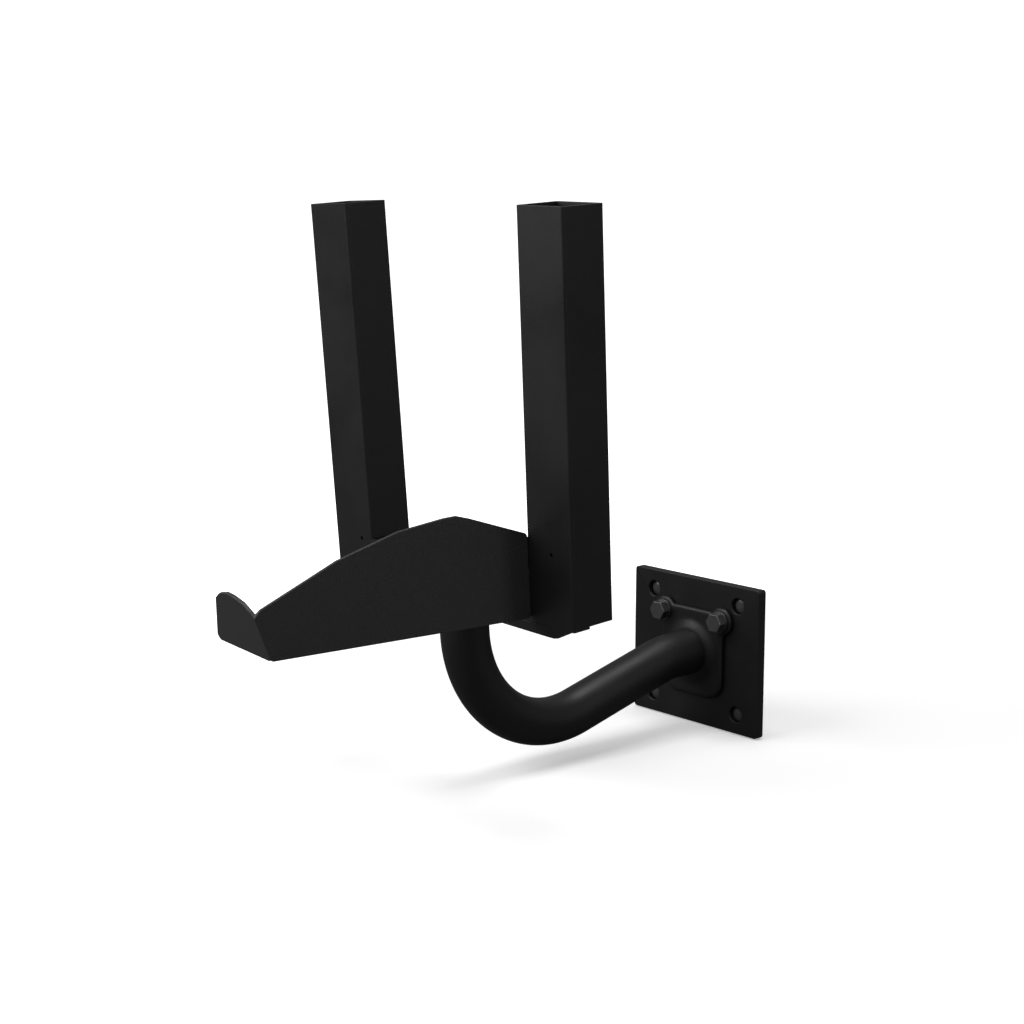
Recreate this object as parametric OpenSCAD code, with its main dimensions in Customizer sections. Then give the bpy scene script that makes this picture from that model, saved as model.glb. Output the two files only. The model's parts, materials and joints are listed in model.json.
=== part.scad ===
// Bicycle wall rack: a wall plate, a gooseneck arm, and a swivelling two-post cradle with one side hook.
// Frame: origin at the middle of the wall plate's back face, +Y into the wall, +Z up, +X to the right.

/* [Wall plate] */
// Width of the plate
plate_w = 160; // [130:1:190]
// Height of the plate
plate_h = 141; // [120:1:175]
// Thickness of the plate
plate_t = 10; // [6:0.5:14]
// Sideways spacing of the wall anchors
anchor_x = 108; // [95:1:125]
// Upright spacing of the wall anchors
anchor_z = 104; // [90:1:120]
// Diameter of each anchor hole
anchor_d = 15; // [9:0.5:17]

/* [Arm flange] */
// Width of the raised pad that the arm is welded to
pad_w = 78; // [66:1:86]
// Height of the pad
pad_h = 86; // [76:1:98]
// Thickness of the pad
pad_t = 5; // [4:0.5:8]
// Distance of each flange bolt from the middle, sideways
bolt_x = 36.5; // [34:0.5:40]
// Height of the flange bolts above the middle
bolt_z = 35; // [33:0.5:40]
// Thread diameter of the flange bolts
bolt_d = 10; // [8:1:12]

/* [Arm tube] */
// Outside diameter of the arm tube
tube_d = 42.4; // [36:0.1:50]
// Wall of the arm tube
tube_wall = 3; // [2:0.2:4]
// Straight run from the pad to the first bend
run_root = 25; // [20:1:40]
// Radius of the first, gentle bend
bend_down_r = 79; // [65:1:95]
// Angle of the first bend, below level
bend_down = 14.7; // [8:0.1:20]
// Straight run between the two bends
run_mid = 109; // [85:1:130]
// Radius of the upturn
bend_up_r = 103; // [86:1:124]
// Straight run above the upturn
run_top = 21; // [10:1:30]
// Lean of the upright end, away from the wall
lean = 3.7; // [0:0.1:8]

/* [Swivel] */
// Diameter of the pivot pin
pin_d = 16; // [14:1:18]
// Running clearance on the pin's radius
pin_gap = 0.05; // [0.02:0.01:0.1]
// Length of the hub sleeve
hub_h = 46; // [40:1:52]
// Swing each way before the stop collar meets its pin
swing = 80; // [60:1:80]

/* [Cradle] */
// Spacing of the two posts at their feet
post_gap = 257; // [214:1:310]
// Width of a post
post_w = 52.5; // [43:0.5:63]
// Depth of a post
post_d = 43; // [38:1:52]
// Height of a post
post_h = 330; // [270:1:400]
// Outward flare of each post
splay = 1.2; // [0:0.1:2]
// Sheet thickness of the cradle
sheet = 3; // [2:0.5:4]
// Distance of the cradle's front face ahead of the swivel axis
front_y = 15.5; // [15:0.5:20]
// Height of the web that joins the posts
web_h = 38; // [34:1:44]

/* [Hook plate] */
// Reach of the hook plate, from the post to the fold
hook_len = 233.5; // [190:0.5:280]
// Toe-in of the hook plate
hook_toe = 6; // [0:0.5:12]
// Height of the hook plate's crown above the posts' feet
hook_top = 98; // [88:1:112]
// Width of the folded lip
lip_w = 85; // [68:1:98]
// Lean of the fold, away from the posts
lip_lean = 17; // [0:1:25]

/* [Hidden] */
$fn = 64;

eps = 0.1;
play = 0.2;
near_gap = 0.3;
washer_t = 2;
bolt_flats = 1.65 * bolt_d;
bolt_head = 0.75 * bolt_d;
tube_r = tube_d / 2;
bore_r = tube_r - tube_wall;
weld_leg = 3;

// Stack on the swivel axis. Height 0 is the foot of the posts.
plug_top = -6;
plug_t = 4;
tube_top = plug_top - plug_t;
pin_r = pin_d / 2;
bush_wall = 2;
bush_r = pin_r + pin_gap + bush_wall;
hub_r = front_y - sheet - near_gap;
bush_flange = 2;
hub_low = plug_top + washer_t + bush_flange + play;
hub_top = hub_low + hub_h;
shoulder_z = hub_top + bush_flange + play;
stud_r = 0.75 * pin_r;
nut_flats = 3 * stud_r;
nut_h = 1.6 * stud_r;
stop_r = hub_r + 5;
stop_pin_r = 2.5;
collar_t = 5;

// Cradle
inner_x = (post_gap - post_w) / 2;
seam_y = 17 - post_d / 2;
post_r = 2.4;
pilot_d = 3.5;
slot_w = 5;
slot_l = 20;
slot_z = 2.7;
slot_x = inner_x - 2;
gusset_t = 4;
gusset_low = hub_low + collar_t + 2;
gusset_up = web_h - gusset_t;
ear_z = web_h + 4;
fold_z = 16.8;
blank_r = 4;
ear_l = 22;
ear_h = 28;
ear_lap = 12;

module rounded(w, h, r) {
    union() {
        square([w - 2 * r, h], center = true);
        square([w, h - 2 * r], center = true);
        for (x = [-1, 1], y = [-1, 1]) translate([x * (w / 2 - r), y * (h / 2 - r)]) circle(r);
    }
}

// Lays a flat outline in the XZ plane, with its thickness towards the room from y.
module upright(y, t) {
    translate([0, -y, 0]) rotate([90, 0, 0]) linear_extrude(t) children();
}

module anchor_places() {
    for (x = [-1, 1], z = [-1, 1]) translate([x * anchor_x / 2, z * anchor_z / 2]) children();
}

module bolt_places() {
    for (x = [-1, 1]) translate([x * bolt_x, bolt_z]) children();
}

// A straight piece of tube and a bent one. Each carries on with its children at its far end.
module run(l) {
    linear_extrude(l) difference() { circle(tube_r); circle(bore_r); }
}

module bent(r, a) {
    translate([-r, 0, 0]) rotate([90, 0, 0]) rotate_extrude(angle = a)
        translate([r, 0]) difference() { circle(tube_r); circle(bore_r); }
}

module after_bend(r, a) {
    translate([-r, 0, 0]) rotate([0, -a, 0]) translate([r, 0, 0]) children();
}

module at_first_bend() {
    translate([0, -plate_t - pad_t - run_root, 0]) rotate([90, 0, 0]) rotate([0, 0, 90]) children();
}

module at_mid_run() {
    at_first_bend() after_bend(bend_down_r, bend_down) children();
}

module at_upturn() {
    at_mid_run() translate([0, 0, run_mid]) rotate([0, 0, 180]) children();
}

module at_top_run() {
    at_upturn() after_bend(bend_up_r, bend_down + 90 - lean) children();
}

// The cradle's own frame: Z along the swivel axis, height 0 at the foot of the posts.
module on_swivel() {
    at_top_run() translate([0, 0, run_top - tube_top]) rotate([0, 0, 90]) children();
}

module post_place(side) {
    translate([side * post_gap / 2, post_d / 2 - front_y, 0]) rotate([0, side * splay, 0]) children();
}

module post_section() {
    difference() {
        rounded(post_w, post_d, post_r);
        square([post_w - 2 * sheet, post_d - 2 * sheet], center = true);
    }
}

// Runs forward along the hook plate: X along the plate, Y up, Z towards the middle of the cradle.
module hook_place() {
    translate([inner_x + sheet, -front_y, 0]) rotate([90, 0, -90 - hook_toe]) children();
}

module wall_plate() {
    color("dimgray") upright(0, plate_t) difference() {
        rounded(plate_w, plate_h, 3);
        anchor_places() circle(d = anchor_d);
        bolt_places() circle(d = bolt_d + play);
    }
}

module arm_flange() {
    color("gray") upright(plate_t, pad_t) difference() {
        union() {
            rounded(pad_w, pad_h, 20);
            bolt_places() circle(1.35 * bolt_d);
        }
        bolt_places() circle(d = bolt_d + 1);
    }
}

module flange_washers() {
    color("silver") upright(plate_t + pad_t, washer_t) bolt_places() difference() {
        circle(d = 2 * bolt_d);
        circle(d = bolt_d + 0.5);
    }
}

module flange_bolts() {
    color("silver") {
        upright(plate_t + pad_t + washer_t, bolt_head) bolt_places()
            circle(d = bolt_flats / cos(30), $fn = 6);
        upright(1, plate_t + pad_t + washer_t) bolt_places() circle(d = bolt_d);
    }
}

module root_weld() {
    color("darkgray") translate([0, -plate_t - pad_t, 0]) rotate([90, 0, 0])
        rotate_extrude() polygon([[tube_r, 0], [tube_r + weld_leg, 0], [tube_r, weld_leg]]);
}

// The arm is bent tube, end to end: the root with its gentle bend, the upturn, and the straight upright end.
module arm_root() {
    color("gray") union() {
        at_first_bend() translate([0, 0, -run_root]) run(run_root);
        at_first_bend() bent(bend_down_r, bend_down);
    }
}

module arm_tube() {
    color("gray") union() {
        at_mid_run() run(run_mid);
        at_upturn() bent(bend_up_r, bend_down + 90 - lean);
    }
}

module arm_end() {
    color("gray") at_top_run() run(run_top);
}

module pivot_plug() {
    color("silver") on_swivel() union() {
        translate([0, 0, tube_top - 12]) cylinder(h = 12, r = bore_r);
        translate([0, 0, tube_top]) cylinder(h = plug_t, r = tube_r - 1);
        translate([0, 0, plug_top]) cylinder(h = shoulder_z - plug_top, r = pin_r);
        translate([0, 0, shoulder_z]) cylinder(h = washer_t + nut_h + 2, r = stud_r);
    }
}

module plug_weld() {
    color("darkgray") on_swivel() translate([0, 0, tube_top])
        rotate_extrude() polygon([[tube_r - 1, 0], [tube_r, 0], [tube_r - 1, 1.5]]);
}

module stop_pin() {
    color("silver") on_swivel() translate([0, stop_r, plug_top])
        cylinder(h = hub_low + collar_t - plug_top, r = stop_pin_r);
}

module thrust_washer() {
    color("goldenrod") on_swivel() translate([0, 0, plug_top]) linear_extrude(washer_t) difference() {
        circle(hub_r);
        circle(pin_r + play);
    }
}

module pivot_washer() {
    color("silver") on_swivel() translate([0, 0, shoulder_z]) linear_extrude(washer_t) difference() {
        circle(hub_r - 1);
        circle(stud_r + play);
    }
}

module pivot_nut() {
    color("silver") on_swivel() translate([0, 0, shoulder_z + washer_t]) linear_extrude(nut_h) difference() {
        circle(d = nut_flats / cos(30), $fn = 6);
        circle(stud_r);
    }
}

module dust_cap() {
    cap_r = nut_flats / cos(30) / 2 + play;
    cap_h = nut_h + 2 + 2 * play;
    cap_wall = 1.5;
    color("dimgray") on_swivel() translate([0, 0, shoulder_z + washer_t]) difference() {
        cylinder(h = cap_h + cap_wall, r = cap_r + cap_wall);
        translate([0, 0, -eps]) cylinder(h = cap_h + eps, r = cap_r);
    }
}

module hub_sleeve() {
    color("gray") on_swivel() translate([0, 0, hub_low]) linear_extrude(hub_h) difference() {
        circle(hub_r);
        circle(bush_r);
    }
}

// A flanged bush that fills half of the sleeve, with its flange outside.
module bush() {
    union() {
        linear_extrude(hub_h / 3) difference() { circle(bush_r); circle(pin_r + pin_gap); }
        translate([0, 0, -bush_flange]) linear_extrude(bush_flange) difference() {
            circle(hub_r - 0.5);
            circle(pin_r + pin_gap);
        }
    }
}

module lower_bush() {
    color("goldenrod") on_swivel() translate([0, 0, hub_low]) bush();
}

module upper_bush() {
    color("goldenrod") on_swivel() translate([0, 0, hub_top]) rotate([180, 0, 0]) bush();
}

// Part of a ring round the hub's foot. Its two ends meet the stop pin when the cradle has swung its full way.
module stop_collar() {
    half_pin = asin(stop_pin_r / stop_r);
    open = swing + half_pin;
    far = 2 * stop_r;
    color("gray") on_swivel() translate([0, 0, hub_low]) linear_extrude(collar_t) difference() {
        circle(stop_r + stop_pin_r);
        circle(hub_r);
        polygon([[0, 0], far * [sin(open), cos(open)], far * [1, 1], [0, far], far * [-1, 1],
                 far * [-sin(open), cos(open)]]);
        translate([-far, -2 * far - front_y + sheet]) square(2 * far);
    }
}

// A shelf behind the web, with a hole for the hub.
module gusset(z) {
    half = inner_x + z * tan(splay);
    back = post_d - front_y - sheet - 8;
    translate([0, 0, z]) linear_extrude(gusset_t) difference() {
        polygon([[-half, sheet - front_y], [half, sheet - front_y], [half, back],
                 [hub_r + 12, hub_r + 6], [-hub_r - 12, hub_r + 6], [-half, back]]);
        circle(hub_r);
    }
}

module lower_gusset() {
    color("gray") on_swivel() gusset(gusset_low);
}

module upper_gusset() {
    color("gray") on_swivel() gusset(gusset_up);
}

// Flat outline of the web between the posts, with a shallow point under each post.
module web_outline() {
    foot = (post_gap + post_w) / 2 - post_r;
    tip = post_gap / 2 + 2;
    low = -9;
    dip = -6.5;
    lap = inner_x + 5;
    polygon([[-foot, 0], [-tip - 5, low + 1], [-tip, low], [-tip + 6, low],
             [-tube_r - 20, dip], [-tube_r - 8, 0], [tube_r + 8, 0], [tube_r + 20, dip],
             [tip - 6, low], [tip, low], [tip + 5, low + 1], [foot, 0],
             [foot - 1, 2], [lap, 2], [lap, web_h], [-lap, web_h], [-lap, 2], [1 - foot, 2]]);
}

// The front half of one post, open towards the wall. Its inner wall starts above the web.
module post_front(side) {
    pilot_x = side == 1 ? 2 : 11;
    pilot_z = side == 1 ? 59 : 37;
    post_place(side) difference() {
        linear_extrude(post_h) intersection() {
            post_section();
            translate([-post_w, -post_d / 2]) square([2 * post_w, seam_y + post_d / 2]);
        }
        translate([pilot_x, 0, pilot_z]) rotate([90, 0, 0]) cylinder(h = post_d, d = pilot_d);
        translate([side * -post_w / 2, 0, -eps])
            cube([2 * sheet + 1, post_d - 2 * sheet, 2 * web_h], center = true);
    }
}

// One folded sheet: the web and the front half of both posts, with a slot across each inner corner.
module front_sheet() {
    color("dimgray") on_swivel() difference() {
        union() {
            translate([0, sheet - front_y, 0]) rotate([90, 0, 0]) linear_extrude(sheet) web_outline();
            post_front(-1);
            post_front(1);
        }
        translate([0, sheet + 1 - front_y, 0]) rotate([90, 0, 0]) linear_extrude(sheet + 2)
            for (side = [-1, 1]) translate([side * slot_x, slot_z]) {
                square([slot_l, slot_w], center = true);
                for (x = [-1, 1]) translate([x * slot_l / 2, 0]) circle(slot_w / 2);
            }
    }
}

// The back half of a post, butt-welded to the front half. Its foot is cut a little higher.
module post_back(side) {
    post_place(side) translate([0, 0, 2]) linear_extrude(post_h - 2) intersection() {
        post_section();
        translate([-post_w, seam_y]) square([2 * post_w, post_d]);
    }
}

module left_post_back() {
    color("dimgray") on_swivel() post_back(-1);
}

module right_post_back() {
    color("dimgray") on_swivel() post_back(1);
}

// Inner root run of the seam, on both walls of a post.
module seam_weld(side) {
    bead_h = post_h - web_h - 20;
    bead_t = 1;
    post_place(side) for (x = [-1, 1])
        translate([x * (post_w / 2 - sheet - bead_t / 2), seam_y, (post_h + web_h) / 2])
            cube([bead_t, 4 * bead_t, bead_h], center = true);
}

module left_seam_weld() {
    color("darkgray") on_swivel() seam_weld(-1);
}

module right_seam_weld() {
    color("darkgray") on_swivel() seam_weld(1);
}

// A strip tacked behind a slot, under the lower shelf, so the slot does not show through.
module doubler(side) {
    translate([side * slot_x, 2 * sheet - front_y, -3]) rotate([90, 0, 0]) linear_extrude(sheet)
        translate([-slot_l, 0]) square([2 * slot_l, gusset_low + 2.8]);
}

module left_doubler() {
    color("dimgray") on_swivel() doubler(-1);
}

module right_doubler() {
    color("dimgray") on_swivel() doubler(1);
}

module hook_outline() {
    fold_h = 35.5;
    offset(r = blank_r) offset(delta = -blank_r) polygon([[0.4, 3.6], [hook_len, fold_z],
        [hook_len + fold_h * tan(lip_lean), fold_z + fold_h], [hook_len + 5, fold_z + fold_h + 4.7],
        [0.738 * hook_len, hook_top - 16], [0.509 * hook_len, hook_top - 3.3], [0.332 * hook_len, hook_top],
        [0.281 * hook_len, hook_top], [0.229 * hook_len, hook_top - 4], [0.4, 73]]);
}

// Flat side plate, the lip folded towards the middle at its far end, and the ear on the post's inner wall.
module hook_plate() {
    color("gray") on_swivel() union() {
        hook_place() union() {
            linear_extrude(sheet) hook_outline();
            translate([hook_len, fold_z, 0]) rotate([0, 0, -lip_lean]) rotate([0, -90, 0])
                linear_extrude(sheet) offset(r = blank_r) offset(delta = -blank_r)
                polygon([[0, 0], [lip_w - 2, 0], [lip_w, 3],
                    [0.69 * lip_w, 42], [0.58 * lip_w, 47.5], [0.415 * lip_w, 50.4], [0.295 * lip_w, 49.5],
                    [0.15 * lip_w, 46.3], [0.06 * lip_w, 41], [0, 36]]);
        }
        translate([inner_x, -front_y, ear_z]) linear_extrude(ear_h)
            polygon([[-sheet, 0.5], [0, 0.5], [0, 0], [1, -0.5], [1, -ear_lap], [-sheet, -ear_lap]]);
        post_place(1) translate([-post_w / 2 - sheet, -post_d / 2 - 0.5, ear_z]) rotate([90, 0, 90])
            linear_extrude(sheet) polygon([[0, 0], [ear_l, 0], [ear_l, ear_h - 8], [0, ear_h]]);
    }
}

module hook_weld() {
    color("darkgray") on_swivel() post_place(1)
        translate([-post_w / 2, ear_l - post_d / 2 - 0.5, ear_z + 2]) linear_extrude(ear_h - 12)
            polygon([[0, 0], [0, 3], [-sheet, 0]]);
}

wall_plate();
arm_flange();
flange_washers();
flange_bolts();
root_weld();
arm_root();
arm_tube();
arm_end();
pivot_plug();
plug_weld();
stop_pin();
thrust_washer();
pivot_washer();
pivot_nut();
dust_cap();
hub_sleeve();
lower_bush();
upper_bush();
stop_collar();
lower_gusset();
upper_gusset();
front_sheet();
left_post_back();
right_post_back();
left_seam_weld();
right_seam_weld();
left_doubler();
right_doubler();
hook_plate();
hook_weld();
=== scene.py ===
import json
import math
import bpy
import bmesh
from mathutils import Matrix, Vector


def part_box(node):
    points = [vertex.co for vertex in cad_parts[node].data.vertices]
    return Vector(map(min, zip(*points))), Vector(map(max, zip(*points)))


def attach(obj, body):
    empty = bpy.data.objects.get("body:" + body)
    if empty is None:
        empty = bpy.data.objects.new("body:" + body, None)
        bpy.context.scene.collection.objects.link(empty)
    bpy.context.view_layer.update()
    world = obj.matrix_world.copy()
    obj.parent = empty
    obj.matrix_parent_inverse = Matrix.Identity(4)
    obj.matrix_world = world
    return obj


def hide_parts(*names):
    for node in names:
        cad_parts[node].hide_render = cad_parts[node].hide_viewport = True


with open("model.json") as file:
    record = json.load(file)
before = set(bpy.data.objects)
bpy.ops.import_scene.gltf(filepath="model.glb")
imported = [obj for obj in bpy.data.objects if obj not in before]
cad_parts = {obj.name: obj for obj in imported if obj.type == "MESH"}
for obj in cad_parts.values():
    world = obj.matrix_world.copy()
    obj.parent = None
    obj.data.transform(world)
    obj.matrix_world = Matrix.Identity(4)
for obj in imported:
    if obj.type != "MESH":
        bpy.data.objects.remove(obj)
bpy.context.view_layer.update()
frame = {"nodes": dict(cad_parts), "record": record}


# Floor: a pale painted sheet that runs far behind the rack. The wall plate stands a millimetre
# above it, so the underside of the bent arm throws a soft shadow just below itself.
floor_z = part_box("wall_plate")[0][2] - 0.001
bpy.ops.object.select_all(action="DESELECT")
bpy.ops.mesh.primitive_plane_add(size=60, location=(0, 0, floor_z))
floor = bpy.context.object
floor.name = "floor"
floor_paint = bpy.data.materials.new("pale_floor")
floor_paint.use_nodes = True
floor_nodes = floor_paint.node_tree.nodes
floor_links = floor_paint.node_tree.links
floor_shader = floor_nodes["Principled BSDF"]
floor_shader.inputs["Roughness"].default_value = 0.85
floor_shader.inputs["Specular IOR Level"].default_value = 0.1
floor_shader.inputs["Emission Color"].default_value = (1, 1, 1, 1)
floor_path = floor_nodes.new("ShaderNodeLightPath")
floor_tone = floor_nodes.new("ShaderNodeMapRange")
floor_tone.inputs["To Min"].default_value = 0.10
floor_tone.inputs["To Max"].default_value = 0.95
floor_place = floor_nodes.new("ShaderNodeTexCoord")
floor_reach = floor_nodes.new("ShaderNodeVectorMath")
floor_reach.operation = "LENGTH"
floor_far = floor_nodes.new("ShaderNodeMapRange")
floor_far.interpolation_type = "SMOOTHSTEP"
floor_far.inputs["From Min"].default_value = 0.32
floor_far.inputs["From Max"].default_value = 0.80
floor_far.inputs["To Min"].default_value = 0.33
floor_far.inputs["To Max"].default_value = 1.20
floor_glow = floor_nodes.new("ShaderNodeMath")
floor_glow.operation = "MULTIPLY"
floor_links.new(floor_place.outputs["Object"], floor_reach.inputs[0])
floor_links.new(floor_reach.outputs["Value"], floor_far.inputs["Value"])
floor_links.new(floor_path.outputs["Is Camera Ray"], floor_tone.inputs["Value"])
floor_links.new(floor_far.outputs["Result"], floor_glow.inputs[0])
floor_links.new(floor_path.outputs["Is Camera Ray"], floor_glow.inputs[1])
floor_links.new(floor_tone.outputs["Result"], floor_shader.inputs["Base Color"])
floor_links.new(floor_glow.outputs["Value"], floor_shader.inputs["Emission Strength"])
floor.data.materials.append(floor_paint)


# Studio air: white to the eye, dimmer where it lights the black paint.
air = bpy.data.worlds.new("studio_air")
bpy.context.scene.world = air
bpy.context.scene.view_settings.view_transform = "Standard"
air.use_nodes = True
air_nodes = air.node_tree.nodes
air_links = air.node_tree.links
air_seen = air_nodes["Background"]
air_seen.inputs["Color"].default_value = (1, 1, 1, 1)
air_seen.inputs["Strength"].default_value = 1.2
air_lit = air_nodes.new("ShaderNodeBackground")
air_lit.inputs["Color"].default_value = (1, 1, 1, 1)
air_lit.inputs["Strength"].default_value = 0.15
air_path = air_nodes.new("ShaderNodeLightPath")
air_mix = air_nodes.new("ShaderNodeMixShader")
air_links.new(air_path.outputs["Is Camera Ray"], air_mix.inputs["Fac"])
air_links.new(air_lit.outputs["Background"], air_mix.inputs[1])
air_links.new(air_seen.outputs["Background"], air_mix.inputs[2])
air_links.new(air_mix.outputs["Shader"], air_nodes["World Output"].inputs["Surface"])


# Lamps: a large softbox high on the room side, a second one overhead that throws the soft shadow
# towards the room, a strip to the right for the posts' sides, and a weak fill by the camera.
def softbox(name, azimuth, elevation, distance, size, power):
    """An area lamp that faces the rack from that side, in degrees and metres."""
    a, e = math.radians(azimuth), math.radians(elevation)
    aim = Vector((0.0, -0.22, 0.12))
    place = aim + distance * Vector((math.sin(a) * math.cos(e), -math.cos(a) * math.cos(e), math.sin(e)))
    lamp_data = bpy.data.lights.new(name, "AREA")
    lamp_data.shape = "RECTANGLE"
    lamp_data.size, lamp_data.size_y = size
    lamp_data.energy = power
    lamp = bpy.data.objects.new(name, lamp_data)
    lamp.location = place
    lamp.rotation_euler = (aim - place).to_track_quat("-Z", "Y").to_euler()
    bpy.context.collection.objects.link(lamp)
    return lamp


softbox("key_lamp", -28, 34, 2.2, (1.9, 1.9), 34)
softbox("top_lamp", 176, 82, 1.8, (1.0, 1.0), 15)
softbox("strip_lamp", 108, 18, 2.0, (0.35, 1.6), 2.2)
softbox("fill_lamp", 52, 30, 2.6, (1.6, 1.6), 7)


# Camera: a short telephoto, a little above the rack and to its right.
camera_azimuth, camera_elevation = math.radians(48.86), math.radians(9.84)
camera_back = Vector((
    math.sin(camera_azimuth) * math.cos(camera_elevation),
    -math.cos(camera_azimuth) * math.cos(camera_elevation),
    math.sin(camera_elevation),
))
camera_aim = Vector((-0.06415, -0.18501, 0.14569))
camera_data = bpy.data.cameras.new("camera")
camera_data.sensor_width = 36
camera_data.lens = 65.59
camera = bpy.data.objects.new("camera", camera_data)
camera.location = camera_aim + 1.69135 * camera_back
camera.rotation_euler = camera_back.to_track_quat("Z", "Y").to_euler()
bpy.context.collection.objects.link(camera)
bpy.context.scene.camera = camera


# Powder coat on everything that is welded: satin black, with the fine orange peel that baked powder
# leaves, a fine random grain in its tone, and slow patches that are slightly glossier or duller.
def coat_group():
    """Fine grain and slow patches, as a height and two masks on Object coordinates."""
    group = bpy.data.node_groups.new("coat_grain", "ShaderNodeTree")
    face = group.interface
    for name, value in (("Peel Scale", 900.0), ("Grain Scale", 3200.0), ("Patch Scale", 14.0)):
        socket = face.new_socket(name=name, in_out="INPUT", socket_type="NodeSocketFloat")
        socket.default_value = value
    for name in ("Height", "Grain", "Patches"):
        face.new_socket(name=name, in_out="OUTPUT", socket_type="NodeSocketFloat")
    nodes, links = group.nodes, group.links
    given, out = nodes.new("NodeGroupInput"), nodes.new("NodeGroupOutput")
    place = nodes.new("ShaderNodeTexCoord")
    made = {}
    for name, detail in (("Peel Scale", 2.0), ("Grain Scale", 1.0), ("Patch Scale", 4.0)):
        noise = nodes.new("ShaderNodeTexNoise")
        noise.inputs["Detail"].default_value = detail
        noise.inputs["Roughness"].default_value = 0.55
        links.new(place.outputs["Object"], noise.inputs["Vector"])
        links.new(given.outputs[name], noise.inputs["Scale"])
        made[name] = noise.outputs["Fac"]
    both = nodes.new("ShaderNodeMath")
    both.operation = "MULTIPLY_ADD"
    both.inputs[1].default_value = 0.45
    links.new(made["Grain Scale"], both.inputs[0])
    links.new(made["Peel Scale"], both.inputs[2])
    links.new(both.outputs[0], out.inputs["Height"])
    links.new(made["Grain Scale"], out.inputs["Grain"])
    links.new(made["Patch Scale"], out.inputs["Patches"])
    return group


coat_grain = coat_group()


def coated(name, colour, roughness, spread=0.07, bump=0.14, peel=900.0, grain=3200.0, patch=14.0,
           metallic=0.0, tint=0.35):
    """A material whose colour, roughness and surface all vary finely about the values given."""
    material = bpy.data.materials.new(name)
    material.use_nodes = True
    nodes, links = material.node_tree.nodes, material.node_tree.links
    shader = nodes["Principled BSDF"]
    shader.inputs["Metallic"].default_value = metallic
    grain_node = nodes.new("ShaderNodeGroup")
    grain_node.node_tree = coat_grain
    grain_node.inputs["Peel Scale"].default_value = peel
    grain_node.inputs["Grain Scale"].default_value = grain
    grain_node.inputs["Patch Scale"].default_value = patch
    rough = nodes.new("ShaderNodeMapRange")
    rough.inputs["From Min"].default_value = 0.35
    rough.inputs["From Max"].default_value = 0.65
    rough.inputs["To Min"].default_value = roughness - spread
    rough.inputs["To Max"].default_value = roughness + spread
    links.new(grain_node.outputs["Patches"], rough.inputs["Value"])
    links.new(rough.outputs["Result"], shader.inputs["Roughness"])
    paint = nodes.new("ShaderNodeMix")
    paint.data_type = "RGBA"
    paint.inputs["A"].default_value = (*[c * (1 - tint) for c in colour], 1)
    paint.inputs["B"].default_value = (*[c * (1 + tint) for c in colour], 1)
    links.new(grain_node.outputs["Grain"], paint.inputs["Factor"])
    links.new(paint.outputs["Result"], shader.inputs["Base Color"])
    relief = nodes.new("ShaderNodeBump")
    relief.inputs["Strength"].default_value = bump
    relief.inputs["Distance"].default_value = 0.0004
    links.new(grain_node.outputs["Height"], relief.inputs["Height"])
    links.new(relief.outputs["Normal"], shader.inputs["Normal"])
    return material


black_coat = coated("black_powder_coat", (0.0105, 0.0105, 0.0103), 0.44)
plate_coat = coated("black_plate_coat", (0.0105, 0.0105, 0.0103), 0.40, spread=0.09)
tube_coat = coated("black_tube_coat", (0.0100, 0.0100, 0.0098), 0.42, bump=0.09)


# The swivel axis, from the record: the posts' own upright, and the line that the cradle turns on.
swivel = frame["record"]["behaviour"]["joints"][0]
pivot_point = Vector(swivel["pos_m"])
to_wall = Vector(swivel["axis"]).cross(Vector((1, 0, 0)))


def fresh_copy(node, name):
    """The CAD node's solid as a clean mesh of flat faces, ready for its edges to be broken."""
    bpy.ops.object.select_all(action="DESELECT")
    source = frame["nodes"][node]
    mesh = source.data.copy()
    mesh.materials.clear()
    piece = bpy.data.objects.new(name, mesh)
    bpy.context.collection.objects.link(piece)
    piece.select_set(True)
    bpy.context.view_layer.objects.active = piece
    bpy.ops.object.mode_set(mode="EDIT")
    bpy.ops.mesh.select_all(action="SELECT")
    bpy.ops.mesh.remove_doubles(threshold=2e-6)
    bpy.ops.mesh.dissolve_limited(angle_limit=math.radians(0.6))
    bpy.ops.mesh.normals_make_consistent(inside=False)
    bpy.ops.object.mode_set(mode="OBJECT")
    return piece


def break_edges(piece, width, segments=2, angle=28, smooth=32, flush_at=None):
    """Rounds every sharp edge by that radius, as shot blasting and a coat of powder do.

    Edges that lie at the depth flush_at, behind the swivel axis, stay sharp: they meet another piece."""
    bpy.ops.object.select_all(action="DESELECT")
    piece.select_set(True)
    bpy.context.view_layer.objects.active = piece
    weights = piece.data.attributes.new("bevel_weight_edge", "FLOAT", "EDGE")
    shape = bmesh.new()
    shape.from_mesh(piece.data)
    for edge in shape.edges:
        turns = len(edge.link_faces) == 2 and edge.calc_face_angle(0) > math.radians(angle)
        ends = [(corner.co - pivot_point).dot(to_wall) for corner in edge.verts]
        flush = flush_at is not None and all(abs(end - flush_at) < 3e-5 for end in ends)
        weights.data[edge.index].value = 1.0 if turns and not flush else 0.0
    shape.free()
    bevel = piece.modifiers.new("edges", "BEVEL")
    bevel.width = width
    bevel.segments = segments
    bevel.limit_method = "WEIGHT"
    bevel.use_clamp_overlap = False
    bpy.ops.object.modifier_apply(modifier="edges")
    bpy.ops.object.shade_smooth_by_angle(angle=math.radians(smooth))
    even = piece.modifiers.new("even_shading", "WEIGHTED_NORMAL")
    even.mode = "FACE_AREA"
    even.weight = 100
    even.keep_sharp = True
    bpy.ops.object.modifier_apply(modifier="even_shading")


def stands_for(piece, body, slot, material, *nodes):
    """Gives a finished piece its material, its body, and the CAD nodes that it shows."""
    piece.data.materials.append(material)
    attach(piece, body)
    if nodes:
        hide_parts(*nodes)


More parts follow.
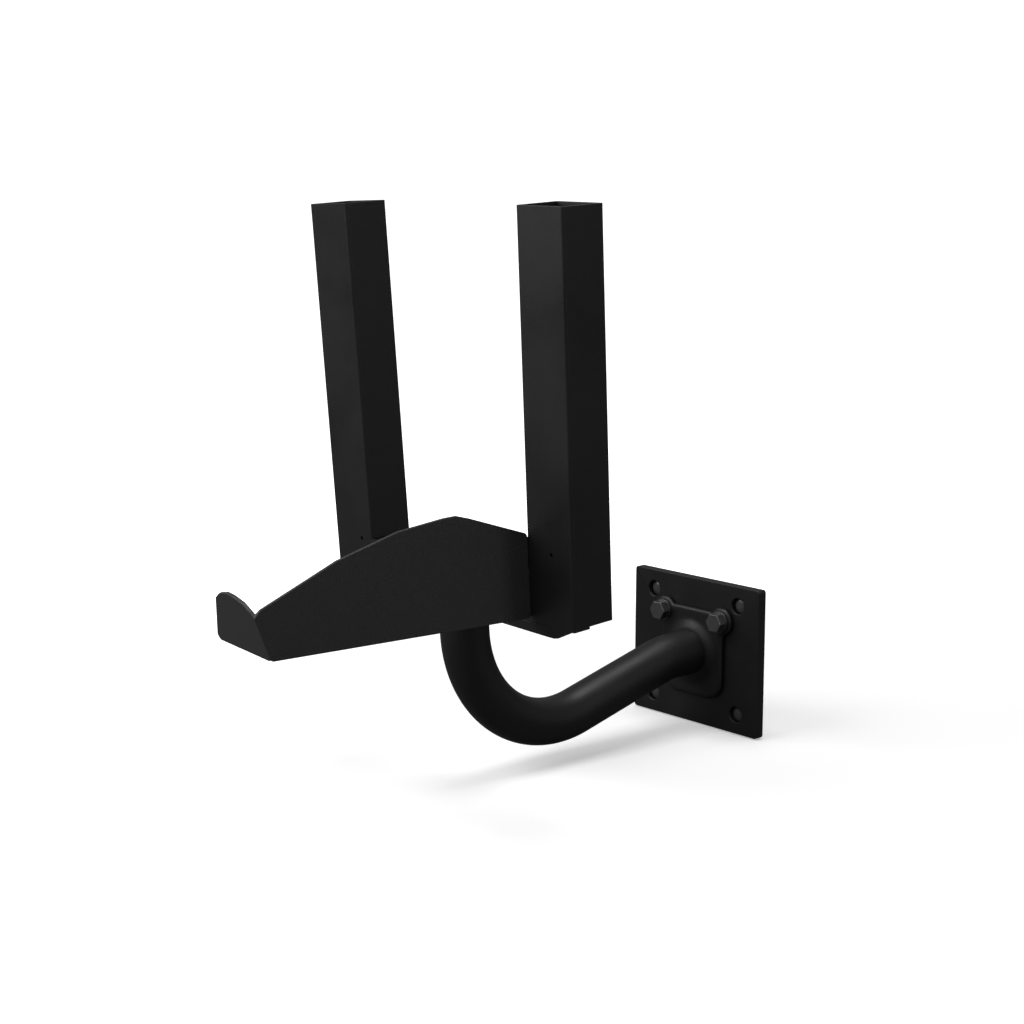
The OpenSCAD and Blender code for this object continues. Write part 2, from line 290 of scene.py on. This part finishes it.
# Wall plate: 10 mm plate, sawn and drilled for four anchors, with its edges lightly broken.
wall_plate = fresh_copy("wall_plate", "plate_with_anchor_holes")
break_edges(wall_plate, 0.0009, segments=3)
stands_for(wall_plate, "arm", "powder_coat", plate_coat, "wall_plate")

# Anchor hole plugs: glossy domed discs in the four anchor holes, a little below the plate's face.
# They are taken to be plastic caps that pull out, so the CAD plate keeps its holes open.
anchor_grid = frame["record"]["mounts"][1]["dims"]
plug_r = anchor_grid["hole_r_mm"] / 1000 - 0.0001
plug_depth, plug_dome = 0.0042, 0.42
plug_x, plug_z = anchor_grid["spacing_x_mm"] / 2000, anchor_grid["spacing_y_mm"] / 2000
plug_gloss = coated("plug_gloss", (0.075, 0.075, 0.077), 0.20, spread=0.05, bump=0.04, peel=1800.0, tint=0.15)
for number, (side_x, side_z) in enumerate(((-1, 1), (1, 1), (-1, -1), (1, -1)), start=1):
    bpy.ops.object.select_all(action="DESELECT")
    bpy.ops.mesh.primitive_uv_sphere_add(
        segments=48, ring_count=24, radius=plug_r, rotation=(math.pi / 2, 0, 0),
        scale=(1, 1, plug_dome), location=(side_x * plug_x, -plug_depth, side_z * plug_z))
    hole_plug = bpy.context.object
    hole_plug.name = f"anchor_hole_plug_{number}"
    bpy.ops.object.transform_apply(location=True, rotation=True, scale=True)
    bpy.ops.object.shade_smooth()
    stands_for(hole_plug, "arm", "cap_plastic", plug_gloss)

# Arm flange: a forged pad with an ear round each bolt and a low swell round the tube. It has no
# sharp edge: the whole rim flows down to the plate, so it is drawn as one softened solid.
arm_flange = fresh_copy("arm_flange", "flange_pad")
flange_face_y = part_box("arm_flange")[0][1]
swell_height, swell_foot_r, swell_neck_r, sunk = 0.0035, 0.034, 0.0225, 0.001
bpy.ops.object.select_all(action="DESELECT")
bpy.ops.mesh.primitive_cone_add(
    vertices=96, radius1=swell_foot_r, radius2=swell_neck_r, depth=swell_height + sunk,
    rotation=(math.pi / 2, 0, 0), location=(0, flange_face_y - (swell_height - sunk) / 2, 0))
bpy.ops.object.transform_apply(location=True, rotation=True, scale=True)
arm_flange.select_set(True)
bpy.context.view_layer.objects.active = arm_flange
bpy.ops.object.join()
solid = arm_flange.modifiers.new("one_skin", "REMESH")
solid.mode = "VOXEL"
solid.voxel_size = 0.0009
bpy.ops.object.modifier_apply(modifier="one_skin")
soften = arm_flange.modifiers.new("soft_rim", "SMOOTH")
soften.factor = 0.5
soften.iterations = 50
bpy.ops.object.modifier_apply(modifier="soft_rim")
bpy.ops.object.shade_smooth()
stands_for(arm_flange, "arm", "powder_coat", plate_coat, "arm_flange")

# Washers and hex bolts that clamp the flange: black zinc, slicker than the paint around them.
black_zinc = coated("black_zinc", (0.20, 0.20, 0.205), 0.36, bump=0.05, peel=1500.0, metallic=0.9)
flange_washers = fresh_copy("flange_washers", "flange_washer_pair")
break_edges(flange_washers, 0.0003)
stands_for(flange_washers, "arm", "black_zinc", black_zinc, "flange_washers")
flange_bolts = fresh_copy("flange_bolts", "hex_bolt_pair")
break_edges(flange_bolts, 0.0007, segments=3)
stands_for(flange_bolts, "arm", "black_zinc", black_zinc, "flange_bolts")


# Arm: one length of round tube, bent gently down from the flange and then up in a wide gooseneck.
# It is drawn here as a ring that is pushed and spun along the same run as the three CAD lengths.
tube_low, tube_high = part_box("arm_root")
tube_r = (tube_high[0] - tube_low[0]) / 2
root_face_y = tube_high[1]
first_bend_r, first_bend = 0.079, math.radians(14.7)
root_run, middle_run, top_run = 0.025, 0.109, 0.021
upturn_r, upturn = 0.103, math.radians(101)
tube_sides, gentle_steps, upturn_steps = 96, 10, 72
bpy.ops.object.select_all(action="DESELECT")
bpy.ops.mesh.primitive_circle_add(
    vertices=tube_sides, radius=tube_r, fill_type="NOTHING",
    location=(0, root_face_y, 0), rotation=(math.pi / 2, 0, 0))
arm_tube = bpy.context.object
arm_tube.name = "gooseneck_tube"
bpy.ops.object.transform_apply(location=True, rotation=True, scale=True)
bpy.ops.object.mode_set(mode="EDIT")
bpy.ops.mesh.select_all(action="SELECT")


def push(heading, length):
    """Draws the open ring of the tube straight on."""
    bpy.ops.mesh.extrude_region_move(TRANSFORM_OT_translate={"value": heading * length})


def bend_round(centre, angle, steps):
    """Spins the open ring of the tube about an axis along X."""
    bpy.ops.mesh.spin(steps=steps, angle=-angle, center=centre, axis=(1, 0, 0), use_auto_merge=False)


heading = Vector((0, -1, 0))
at = Vector((0, root_face_y, 0))
push(heading, root_run)
at = at + heading * root_run
bend_centre = at + Vector((0, 0, -first_bend_r))
bend_round(bend_centre, first_bend, gentle_steps)
turn = Matrix.Rotation(first_bend, 3, "X")
at = bend_centre + turn @ (at - bend_centre)
heading = turn @ heading
push(heading, middle_run)
at = at + heading * middle_run
bend_centre = at + Matrix.Rotation(-math.pi / 2, 3, "X") @ heading * upturn_r
bend_round(bend_centre, -upturn, upturn_steps)
turn = Matrix.Rotation(-upturn, 3, "X")
at = bend_centre + turn @ (at - bend_centre)
heading = turn @ heading
push(heading, top_run)
bpy.ops.object.mode_set(mode="OBJECT")
tube_wall = 0.003
wall = arm_tube.modifiers.new("tube_wall", "SOLIDIFY")
wall.thickness = tube_wall
wall.offset = -1
bpy.ops.object.mode_set(mode="EDIT")
bpy.ops.mesh.select_all(action="SELECT")
bpy.ops.mesh.remove_doubles(threshold=1e-6)
bpy.ops.mesh.normals_make_consistent(inside=False)
bpy.ops.object.mode_set(mode="OBJECT")
bpy.ops.object.modifier_apply(modifier="tube_wall")
bpy.ops.object.shade_smooth_by_angle(angle=math.radians(40))
stands_for(arm_tube, "arm", "powder_coat", tube_coat, "arm_root", "arm_tube", "arm_end")


# Root weld: a small fillet bead run round the tube on the pad, in fine overlapping ripples.
bead_size, bead_offset = 0.0024, 0.0006
bpy.ops.object.select_all(action="DESELECT")
bpy.ops.mesh.primitive_torus_add(
    major_segments=240, minor_segments=16, major_radius=tube_r + bead_offset, minor_radius=bead_size,
    location=(0, root_face_y, 0), rotation=(math.pi / 2, 0, 0))
root_weld = bpy.context.object
root_weld.name = "root_weld_bead"
bpy.ops.object.transform_apply(location=True, rotation=True, scale=True)
bead_mesh = root_weld.data
ripples = 58
for vertex in bead_mesh.vertices:
    angle = math.atan2(vertex.co.z, vertex.co.x)
    out = Vector((vertex.co.x, 0, vertex.co.z)).normalized()
    core = out * (tube_r + bead_offset) + Vector((0, root_face_y, 0))
    swell = 1 + 0.05 * (abs(math.sin(ripples * angle / 2)) - 0.6) + 0.03 * math.sin(5 * angle + 1)
    vertex.co = core + (vertex.co - core) * swell
bpy.ops.object.shade_smooth_by_angle(angle=math.radians(60))
stands_for(root_weld, "arm", "powder_coat", plate_coat, "root_weld")


# Swivel parts under the cradle: turned steel, sintered bronze and moulded polymer, all out of sight
# behind the hook plate. Each keeps its shape, with its edges just broken.
turned_steel = coated(
    "turned_steel", (0.42, 0.42, 0.43), 0.28, bump=0.06, peel=2600.0, metallic=1.0, tint=0.12)
bronze = coated("sintered_bronze", (0.42, 0.26, 0.11), 0.38, bump=0.10, peel=2600.0, metallic=1.0, tint=0.2)
polymer = coated("bush_polymer", (0.23, 0.20, 0.13), 0.50, bump=0.08)
cap_plastic = coated("cap_plastic", (0.012, 0.012, 0.012), 0.48, bump=0.10)
swivel_parts = (
    ("pivot_plug", "plug_and_pin", "arm", "bright_steel", turned_steel, 0.0005),
    ("plug_weld", "plug_weld_bead", "arm", "powder_coat", black_coat, 0.0003),
    ("stop_pin", "swing_stop_pin", "arm", "bright_steel", turned_steel, 0.0004),
    ("thrust_washer", "thrust_washer_ring", "arm", "bronze", bronze, 0.0002),
    ("pivot_washer", "pin_washer", "arm", "black_zinc", black_zinc, 0.0002),
    ("pivot_nut", "pin_nut", "arm", "black_zinc", black_zinc, 0.0005),
    ("dust_cap", "pin_cap", "arm", "cap_plastic", cap_plastic, 0.0008),
    ("hub_sleeve", "hub_tube", "cradle", "powder_coat", black_coat, 0.0004),
    ("lower_bush", "lower_flanged_bush", "cradle", "bush_polymer", polymer, 0.0003),
    ("upper_bush", "upper_flanged_bush", "cradle", "bush_polymer", polymer, 0.0003),
    ("stop_collar", "swing_stop_collar", "cradle", "powder_coat", black_coat, 0.0004),
    ("lower_gusset", "lower_shelf", "cradle", "powder_coat", black_coat, 0.0005),
    ("upper_gusset", "upper_shelf", "cradle", "powder_coat", black_coat, 0.0005),
)
for node, name, body, slot_name, material, edge in swivel_parts:
    part = fresh_copy(node, name)
    break_edges(part, edge)
    stands_for(part, body, slot_name, material, node)


# Front sheet: 3 mm steel, cut and folded into the web and the front half of both posts.
front_sheet = fresh_copy("front_sheet", "folded_front_sheet")
post_back_mesh = frame["nodes"]["left_post_back"].data
seam_depth = min((vertex.co - pivot_point).dot(to_wall) for vertex in post_back_mesh.vertices)
break_edges(front_sheet, 0.0004, flush_at=seam_depth)
stands_for(front_sheet, "cradle", "powder_coat", black_coat, "front_sheet")

# Post backs: folded channels that close the posts, butt-welded and ground flush, with a strip
# behind each slot. The seam edges stay sharp, so front and back read as one wall.
for side in ("left", "right"):
    back = fresh_copy(f"{side}_post_back", f"{side}_back_channel")
    break_edges(back, 0.0004, flush_at=seam_depth)
    stands_for(back, "cradle", "powder_coat", black_coat, f"{side}_post_back")
    seam = fresh_copy(f"{side}_seam_weld", f"{side}_inner_seam")
    break_edges(seam, 0.0003)
    stands_for(seam, "cradle", "weld_steel", black_coat, f"{side}_seam_weld")
    patch = fresh_copy(f"{side}_doubler", f"{side}_slot_patch")
    break_edges(patch, 0.0003)
    stands_for(patch, "cradle", "powder_coat", black_coat, f"{side}_doubler")

# Hook plate: one flat blank with the lip folded in at its far end, and its weld to the post.
# Its coat is the cradle's black powder coat painted about three times lighter: painted light for the brighter
# light on the hook plate and lip. The coarser mottled grain is the coat's own tone.
hook_coat_painted_lighter = coated(
    "black_coat_painted_lighter_on_hook", (0.037, 0.037, 0.0365), 0.45, bump=0.26, peel=900.0, grain=1300.0, tint=0.6)
hook_plate = fresh_copy("hook_plate", "hook_blank")
break_edges(hook_plate, 0.00035, segments=3)
stands_for(hook_plate, "cradle", "powder_coat", hook_coat_painted_lighter, "hook_plate")
hook_weld = fresh_copy("hook_weld", "hook_weld_bead")
break_edges(hook_weld, 0.0004)
stands_for(hook_weld, "cradle", "powder_coat", black_coat, "hook_weld")
